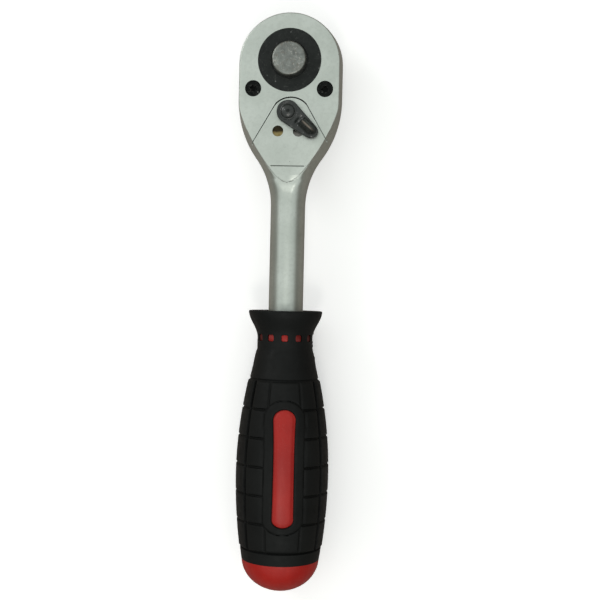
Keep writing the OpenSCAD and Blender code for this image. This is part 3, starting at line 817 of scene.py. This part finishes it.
core = lathe("red_body", core_profile(), steps=144, axis="y")
smooth_by_angle(core, 45)
pads = [insert_block("pad_top", 1), insert_block("pad_low", -1)]
for p in pads:
    soften(p, 0.3, 3, 40)
    apply_modifiers(p)
    smooth_by_angle(p, 45)
pegs = [rounded_peg("peg", angle, 0.0, NECK_R - 0.3, WAIST_D / 2 - 0.4) for angle in dot_angles]
for p in pegs:
    soften(p, 0.25, 3, 40)
    apply_modifiers(p)
    smooth_by_angle(p, 45)
red = joined("red_core", [core] + pads + pegs)
smooth_by_angle(red, 45)
turned_grip(red)
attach(red, "head")
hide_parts("handle_core")


# ---- materials
CREST_HIGHLIGHT_V = 0.75  # how far the painted highlight on the lever's crest, over steel worn bare, lies off the middle of its arm
CHROME_LOW, CHROME_HIGH = (0.52, 0.565, 0.52), (0.59, 0.635, 0.59)


class Nodes:
    """A short way to write a node tree."""

    def __init__(self, name):
        self.mat = bpy.data.materials.new(name)
        self.mat.use_nodes = True
        self.tree = self.mat.node_tree
        self.bsdf = next(n for n in self.tree.nodes if n.type == "BSDF_PRINCIPLED")
        self.coord = self.add("TexCoord").outputs["Object"]

    def add(self, kind, **inputs):
        node = self.tree.nodes.new("ShaderNode" + kind)
        for key, value in inputs.items():
            self.put(node, key, value)
        return node

    def put(self, node, key, value):
        """Sets an operation, or an input given by its number (i0, i1) or its name."""
        if key == "operation":
            node.operation = value
            return
        numbered = key[0] == "i" and key[1:].isdigit()
        self.feed(node.inputs[int(key[1:])] if numbered else node.inputs[key.replace("_", " ")], value)

    def feed(self, socket, value):
        if hasattr(value, "is_output"):
            self.tree.links.new(value, socket)
        else:
            socket.default_value = value

    def noise(self, scale, detail=4, rough=0.55, stretch=(1, 1, 1), offset=(0, 0, 0)):
        """Noise whose features are about scale millimetres across."""
        place = self.add("Mapping", Vector=self.coord, Location=offset, Scale=stretch)
        size = 1 / (scale * MM)
        node = self.add("TexNoise", Vector=place.outputs[0], Scale=size, Detail=detail, Roughness=rough)
        return node.outputs[0]

    def cells(self, scale, offset=(0, 0, 0)):
        """Distance from scattered points that are about scale millimetres apart."""
        place = self.add("Mapping", Vector=self.coord, Location=offset)
        node = self.add("TexVoronoi", Vector=place.outputs[0], Scale=1 / (scale * MM))
        return node.outputs["Distance"]

    def ramp(self, value, low, high, a=0.0, b=1.0):
        """Straight ramp from a at low to b at high, level beyond them."""
        node = self.add("MapRange", Value=value)
        node.clamp = True
        for key, v in (("From Min", low), ("From Max", high), ("To Min", a), ("To Max", b)):
            node.inputs[key].default_value = v
        return node.outputs[0]

    def math(self, op, a, b=0.0):
        return self.add("Math", operation=op, i0=a, i1=b).outputs[0]

    def mix(self, factor, a, b):
        """Colour that goes from a to b as the factor goes from 0 to 1."""
        node = self.tree.nodes.new("ShaderNodeMix")
        node.data_type = "RGBA"
        self.feed(node.inputs[0], factor)
        sockets = [s for s in node.inputs if s.type == "RGBA"]
        for socket, value in zip(sockets, (a, b)):
            self.feed(socket, (*value, 1) if isinstance(value, tuple) else value)
        return [s for s in node.outputs if s.type == "RGBA"][0]

    def product(self, *factors):
        """The product of all factors."""
        total = factors[0]
        for factor in factors[1:]:
            total = self.math("MULTIPLY", total, factor)
        return total

    def edges(self, radius=0.4):
        """1 at rounded edges, 0 on flats."""
        bevel = self.add("Bevel")
        bevel.samples = 4
        bevel.inputs["Radius"].default_value = radius * MM
        geo = self.add("NewGeometry")
        dot = self.add("VectorMath", operation="DOT_PRODUCT", i0=bevel.outputs[0],
                       i1=geo.outputs["Normal"])
        return self.ramp(dot.outputs["Value"], 0.995, 0.9)

    def bump(self, height, strength, distance, normal=None):
        node = self.add("Bump", Height=height, Strength=strength, Distance=distance * MM)
        if normal is not None:
            self.put(node, "Normal", normal)
        return node.outputs[0]

    def finish(self, **inputs):
        for key, value in inputs.items():
            self.put(self.bsdf, key, value)
        return self.mat


SCRATCH_LENGTH = 9  # length of a scratch over the spacing between scratches


def scratches(n, size, count, seed):
    """Hair scratches in several directions, 1 on a scratch and broken off at random."""
    total = None
    for k in range(count):
        turn = (0, 0, math.radians(180 * k / count + 17 * seed))
        place = n.add("Mapping", Vector=n.coord, Location=(0.01 * k + seed, 0.02 * k, 0),
                      Rotation=turn, Scale=(SCRATCH_LENGTH, 1, 1))
        place.vector_type = "TEXTURE"
        wave = n.add("TexNoise", Vector=place.outputs[0], Scale=1 / (size * MM), Detail=1, Roughness=0.4)
        line = n.ramp(n.math("ABSOLUTE", n.math("SUBTRACT", wave.outputs[0], 0.5)), 0.014, 0.004)
        broken = n.ramp(n.noise(size * 2.5, 2, offset=(seed, 0.03 * k, 0)), 0.56, 0.6)
        hit = n.product(line, broken)
        total = hit if total is None else n.math("MAXIMUM", total, hit)
    return total


def satin_chrome():
    """Satin chrome plating with faint mottling, pits, a few dirty spots and hair scratches."""
    n = Nodes("satin_chrome")
    broad = n.noise(14, 3)
    grain = n.noise(0.16, 3, 0.6)
    mottle = n.noise(1.6, 5, 0.65)
    scratch = scratches(n, 1.3, 4, 1)
    pits = n.ramp(n.cells(5.5, (0.003, 0.001, 0)), 0.05, 0.03)
    edge = n.edges(0.3)
    base = n.mix(n.ramp(broad, 0.35, 0.65), CHROME_LOW, CHROME_HIGH)
    base = n.mix(n.ramp(mottle, 0.45, 0.75, 0, 0.45), base, tuple(c * 0.8 for c in CHROME_LOW))
    stain = n.product(n.ramp(n.noise(0.8, 3, 0.6, offset=(0.02, 0, 0)), 0.66, 0.72),
                   n.ramp(n.noise(6, 2), 0.5, 0.62))
    base = n.mix(n.product(stain, 0.35), base, (0.22, 0.225, 0.20))
    base = n.mix(n.product(pits, 0.55), base, (0.13, 0.135, 0.12))
    base = n.mix(n.product(edge, 0.3), base, (0.66, 0.69, 0.66))
    rough = n.ramp(mottle, 0.3, 0.7, 0.32, 0.45)
    rough = n.math("SUBTRACT", rough, n.product(edge, 0.08))
    normal = n.bump(grain, 0.24, 0.03)
    normal = n.bump(mottle, 0.12, 0.06, normal)
    normal = n.bump(n.product(scratch, -1.0), 0.1, 0.02, normal)
    return n.finish(Base_Color=base, Metallic=0.9, Roughness=rough, Normal=normal)


def black_oxide(name, tone, gloss, shine, crest=False):
    """Blackened steel. tone scales its greys, gloss is its specular level and shine takes off roughness.

    crest adds a light warm streak along the crest of the lever's tab: a painted highlight for the crest's
    shine, on steel that thumbs have worn bare.
    """
    n = Nodes(name)
    blotch = n.noise(2.4, 5, 0.6)
    grain = n.noise(0.2, 3)
    edge = n.edges(0.3)
    specks = n.ramp(n.cells(2.6, (0.002, 0.004, 0)), 0.12, 0.07)
    scratch = scratches(n, 0.9, 3, 3)
    base = n.mix(n.ramp(blotch, 0.35, 0.7), tuple(c * tone for c in (0.010, 0.013, 0.012)),
                 tuple(c * tone for c in (0.021, 0.025, 0.023)))
    worn = n.product(edge, n.ramp(n.noise(0.9, 4), 0.42, 0.62))
    base = n.mix(n.product(worn, 0.4), base, (0.17, 0.165, 0.155))
    base = n.mix(n.product(specks, n.ramp(blotch, 0.5, 0.6, 0, 0.6)), base, (0.30, 0.31, 0.30))
    base = n.mix(n.product(scratch, 0.25), base, (0.16, 0.16, 0.15))
    if crest:
        # painted highlight: a light warm streak along the tab's crest, which also stands for steel worn
        # bare there
        place = n.add("Mapping", Vector=n.coord, Location=(0, PIVOT_Y * MM, 0), Rotation=(0, 0, ARM))
        place.vector_type = "TEXTURE"
        arm = n.add("SeparateXYZ", Vector=place.outputs[0]).outputs
        middle = n.math("ABSOLUTE", n.math("SUBTRACT", arm["Y"], CREST_HIGHLIGHT_V * MM))
        streak = n.product(n.ramp(middle, 0.62 * MM, 0.15 * MM), n.ramp(arm["X"], 7.0 * MM, 8.2 * MM),
                           n.ramp(arm["X"], 14.2 * MM, 12.0 * MM), n.ramp(blotch, 0.35, 0.6, 0.35, 1.0))
        base = n.mix(n.product(streak, 0.7), base, (0.27, 0.225, 0.18))
    rough = n.ramp(blotch, 0.3, 0.7, 0.40 - shine, 0.52 - shine)
    normal = n.bump(grain, 0.2, 0.03)
    normal = n.bump(blotch, 0.2, 0.1, normal)
    return n.finish(Base_Color=base, Metallic=0.0, Roughness=rough, Normal=normal, Specular_IOR_Level=gloss)


def worn_steel():
    """Bare steel worn by thumbs: brownish blotches, scratches and a bright rim."""
    n = Nodes("plain_steel")
    blotch = n.noise(3.4, 6, 0.65)
    fine = n.noise(0.3, 4)
    edge = n.edges(0.5)
    scratch = scratches(n, 1.1, 6, 5)
    base = n.mix(n.ramp(blotch, 0.35, 0.65), (0.155, 0.165, 0.155), (0.265, 0.285, 0.265))
    base = n.mix(n.ramp(n.noise(1.3, 3), 0.52, 0.7, 0, 0.4), base, (0.17, 0.135, 0.10))
    base = n.mix(n.product(scratch, 0.55), base, (0.55, 0.54, 0.50))
    base = n.mix(n.product(edge, 0.85), base, (0.66, 0.63, 0.58))
    rough = n.ramp(blotch, 0.3, 0.7, 0.3, 0.46)
    normal = n.bump(fine, 0.2, 0.03)
    normal = n.bump(blotch, 0.3, 0.12, normal)
    normal = n.bump(n.product(scratch, -1.0), 0.3, 0.03, normal)
    return n.finish(Base_Color=base, Metallic=0.85, Roughness=rough, Normal=normal)


def plain_metal(name, low, high, shade_from_y=None):
    """Plain machined metal. If a y is given, painted shadow darkens it beyond that y, for the shade a
    hole's rim throws on the upper part of a pin's end.
    """
    n = Nodes(name)
    blotch = n.noise(1.5, 5, 0.6)
    grain = n.noise(0.25, 3, 0.5, stretch=(0.15, 1, 1))
    edge = n.edges(0.25)
    base = n.mix(n.ramp(blotch, 0.35, 0.65), low, high)
    base = n.mix(n.product(edge, 0.5), base, tuple(min(c * 1.7, 1) for c in high))
    # painted shadow: beyond the given y the metal goes nearly black, with a ragged edge, for the shade of
    # the hole's rim on a pin's upper part
    if shade_from_y is not None:
        y = n.add("SeparateXYZ", Vector=n.coord).outputs["Y"]
        ragged = n.math("ADD", y, n.ramp(blotch, 0.3, 0.7, -0.4 * MM, 0.4 * MM))
        painted_rim_shadow = n.ramp(ragged, (shade_from_y - 0.5) * MM, (shade_from_y + 0.5) * MM, 0, 0.93)
        base = n.mix(painted_rim_shadow, base, (0.012, 0.010, 0.007))
    normal = n.bump(grain, 0.2, 0.03)
    rough = n.ramp(blotch, 0.3, 0.7, 0.26, 0.42)
    return n.finish(Base_Color=base, Metallic=0.9, Roughness=rough, Normal=normal)


def black_rubber(name):
    """Matt black rubber with a little dust, and painted shade that darkens its grooves and dulls their
    shine.
    """
    n = Nodes(name)
    broad = n.noise(18, 3)
    matte = n.noise(0.35, 4, 0.6)
    soft = n.noise(2.5, 4)
    dust = n.ramp(n.cells(2.3, (0.01, 0.02, 0.0)), 0.045, 0.02)
    edge = n.edges(0.4)
    base = n.mix(n.ramp(broad, 0.35, 0.65), (0.0045, 0.0052, 0.005), (0.0075, 0.0084, 0.008))
    base = n.mix(n.product(edge, 0.3), base, (0.022, 0.024, 0.023))
    base = n.mix(n.product(dust, n.ramp(soft, 0.5, 0.62, 0, 0.35)), base, (0.12, 0.12, 0.11))
    # painted shade: ambient occlusion darkens the colour in the grooves and takes away their specular and
    # sheen
    groove_occlusion = n.add("AmbientOcclusion", Distance=2.2 * MM)
    groove_occlusion.samples = 6
    depth = n.ramp(groove_occlusion.outputs["AO"], 0.5, 0.95, 0.12, 1.0)
    base = n.mix(depth, (0.0006, 0.0007, 0.0007), base)
    rough = n.ramp(soft, 0.35, 0.65, 0.5, 0.64)
    normal = n.bump(matte, 0.3, 0.035)
    normal = n.bump(soft, 0.15, 0.1, normal)
    return n.finish(Base_Color=base, Roughness=rough, Normal=normal,
                    Specular_IOR_Level=n.product(depth, 0.16), Sheen_Weight=n.product(depth, 0.02),
                    Sheen_Roughness=0.35)


def red_plastic():
    """Hard red plastic, with the small squares round the waist darkened more and more towards the sides."""
    n = Nodes("red_plastic")
    broad = n.noise(16, 4)
    streak = n.noise(3.0, 5, 0.6, stretch=(1, 0.12, 1))
    fine = n.noise(0.3, 4)
    scratch = scratches(n, 0.6, 3, 9)
    base = n.mix(n.ramp(broad, 0.35, 0.65), (0.36, 0.010, 0.007), (0.43, 0.015, 0.010))
    base = n.mix(n.ramp(streak, 0.45, 0.75, 0, 0.3), base, (0.30, 0.008, 0.006))
    base = n.mix(n.product(scratch, 0.15), base, (0.58, 0.16, 0.13))
    place = n.add("SeparateXYZ", Vector=n.coord).outputs
    # the small squares round the waist are darkened, little at the top middle and most at the sides
    in_dots = n.ramp(n.math("ABSOLUTE", n.math("ADD", place["Y"], DOT_AT * MM)), 2.6 * MM, 2.1 * MM)
    darker_to_sides = n.ramp(n.math("ABSOLUTE", place["X"]), 2 * MM, 9.5 * MM, 0.15, 0.88)
    base = n.mix(n.product(in_dots, darker_to_sides), base, (0.035, 0.010, 0.009))
    rough = n.ramp(streak, 0.35, 0.65, 0.36, 0.46)
    normal = n.bump(fine, 0.12, 0.03)
    normal = n.bump(broad, 0.1, 0.15, normal)
    return n.finish(Base_Color=base, Roughness=rough, Normal=normal, Specular_IOR_Level=0.3,
                    Subsurface_Weight=0.08, Subsurface_Scale=1.2 * MM)


def set_material(obj, mat):
    obj.data.materials.clear()
    obj.data.materials.append(mat)


chrome = satin_chrome()
oxide = black_oxide("black_oxide", 0.8, 0.2, 0.0)
screw_oxide = black_oxide("screw_oxide", 0.3, 0.08, 0.0)
lever_black = black_oxide("lever_black", 1.1, 0.55, 0.2, crest=True)
steel = worn_steel()
rubber_mat = black_rubber("black_rubber")
hard = plain_metal("hard_steel", (0.12, 0.12, 0.12), (0.22, 0.215, 0.21))
spring_mat = plain_metal("spring_steel", (0.35, 0.35, 0.34), (0.5, 0.5, 0.49))
# both pins get a painted shadow on the upper part of their ends, for the shade of their holes' rims
brass = plain_metal("brass", (0.20, 0.155, 0.06), (0.34, 0.27, 0.12), shade_from_y=PIN_Y - 0.2)
pin_steel = plain_metal("pin_steel", (0.14, 0.135, 0.12), (0.26, 0.255, 0.24), shade_from_y=PIN_Y - 0.2)
seal = black_rubber("seal_rubber")
for o in (head, cover, plate):
    set_material(o, chrome)
set_material(screws, screw_oxide)
for o in (lever, dome):
    set_material(o, lever_black)
set_material(button, steel)
set_material(rubber, rubber_mat)
set_material(red, red_plastic())
for name in ("button_spring", "left_pawl_coil", "right_pawl_coil"):
    set_material(bpy.data.objects[name], spring_mat)

# CAD nodes that are shown as they are
CARRIED = {"drive_gear": oxide, "drag_ring": steel, "button_ring": oxide, "detent_ball": steel,
           "left_pawl": hard, "right_pawl": hard, "left_pawl_pin": brass, "right_pawl_pin": pin_steel,
           "lever_shaft": oxide, "lever_seal": seal}
for name, mat in CARRIED.items():
    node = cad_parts[name]
    set_material(node, mat)
    if name not in ("detent_ball", "lever_seal"):
        m = node.modifiers.new("edges", "BEVEL")
        m.width, m.segments = 0.1 * MM, 2
        m.limit_method, m.angle_limit = "ANGLE", math.radians(40)

# ---- floor, light, camera
FLOOR_BOUNCE, FLOOR_LIFT = (0.36, 0.315, 0.29), 0.36
BACKDROP = (0.93, 0.93, 0.93)
SKY_LOW, SKY_HIGH = (0.135, 0.125, 0.105), (0.80, 0.83, 0.81)
SKY_DARK_BELOW, SKY_LIGHT_ABOVE = 0.38, 0.60  # sine of the elevation
DRIVE_END, FLOOR_GAP, GRIP_GAP, FLOOR_SIZE = -15.5, 0.05, 0.25, 6
grip_low = PART_Z - BELLY_D / 2 - GRIP_GAP
bpy.ops.mesh.primitive_plane_add(size=FLOOR_SIZE)
floor = bpy.context.object
floor.name = "floor"
floor.rotation_euler = (math.atan((grip_low - DRIVE_END) / -BELLY_AT), 0, 0)
floor.location = (0, 0, (DRIVE_END - FLOOR_GAP) * MM)


def paper():
    """Pale paper that throws less light back at the wrench than the camera sees."""
    n = Nodes("floor_paper")
    tone = n.mix(n.ramp(n.noise(60, 3), 0.3, 0.7), (0.93, 0.93, 0.93), (0.96, 0.96, 0.96))
    seen = n.add("LightPath").outputs["Is Camera Ray"]
    return n.finish(Base_Color=n.mix(seen, FLOOR_BOUNCE, tone), Roughness=0.9,
                    Normal=n.bump(n.noise(1.2, 3), 0.05, 0.05), Specular_IOR_Level=0.1,
                    Emission_Color=(1, 1, 1, 1), Emission_Strength=n.product(seen, FLOOR_LIFT))


set_material(floor, paper())


def studio():
    """Soft pale light from above, dim towards the horizon, with an even backdrop behind the floor."""
    world = bpy.data.worlds.new("studio")
    world.use_nodes = True
    tree = world.node_tree
    where, split, sky, tones, backdrop, path, choose = (tree.nodes.new("ShaderNode" + kind) for kind in (
        "TexCoord", "SeparateXYZ", "MapRange", "Mix", "Background", "LightPath", "MixShader"))
    light = tree.nodes["Background"]
    sky.interpolation_type = "SMOOTHSTEP"
    sky.inputs["From Min"].default_value = SKY_DARK_BELOW
    sky.inputs["From Max"].default_value = SKY_LIGHT_ABOVE
    tones.data_type = "RGBA"
    for socket, value in zip([i for i in tones.inputs if i.type == "RGBA"], (SKY_LOW, SKY_HIGH)):
        socket.default_value = (*value, 1)
    backdrop.inputs[0].default_value = (*BACKDROP, 1)
    tones_out = [o for o in tones.outputs if o.type == "RGBA"][0]
    for output, socket in (
            (where.outputs["Generated"], split.inputs[0]), (split.outputs["Z"], sky.inputs["Value"]),
            (sky.outputs[0], tones.inputs[0]), (tones_out, light.inputs[0]),
            (path.outputs["Is Camera Ray"], choose.inputs[0]), (light.outputs[0], choose.inputs[1]),
            (backdrop.outputs[0], choose.inputs[2]),
            (choose.outputs[0], tree.nodes["World Output"].inputs[0])):
        tree.links.new(output, socket)
    return world


bpy.context.scene.world = studio()


def area(name, place, aim, size, power, tint=(1, 1, 1)):
    """A round area lamp, in metres and watts."""
    data = bpy.data.lights.new(name, "AREA")
    data.shape, data.size, data.energy, data.color = "DISK", size, power, tint
    lamp = bpy.data.objects.new(name, data)
    lamp.location = place
    lamp.rotation_euler = (Vector(aim) - Vector(place)).to_track_quat("-Z", "Y").to_euler()
    bpy.context.scene.collection.objects.link(lamp)


area("key", (-0.75, 0.45, 0.55), (0, -0.1, 0), 0.45, 2.2)
area("front", (0.05, -0.42, 0.85), (0, -0.05, 0), 0.16, 0.8, (1, 0.96, 0.9))

CAMERA_AT, CAMERA_AIM = Vector((43.1, -97.2, 485.9)) * MM, Vector((6.4, -102.5, 12.0)) * MM
CAMERA_ROLL, CAMERA_FOV = math.radians(1.3), math.radians(30.5)
cam_data = bpy.data.cameras.new("camera")
cam_data.angle = CAMERA_FOV
cam = bpy.data.objects.new("camera", cam_data)
bpy.context.scene.collection.objects.link(cam)
back = (CAMERA_AT - CAMERA_AIM).normalized()
level = Vector((0, 1, 0)).cross(back).normalized()
right = level * math.cos(CAMERA_ROLL) + back.cross(level) * math.sin(CAMERA_ROLL)
cam.location = CAMERA_AT
cam.rotation_euler = Matrix((right, back.cross(right), back)).transposed().to_euler()
bpy.context.scene.camera = cam

bpy.context.scene.view_settings.view_transform = "Standard"

bpy.context.view_layer.update()
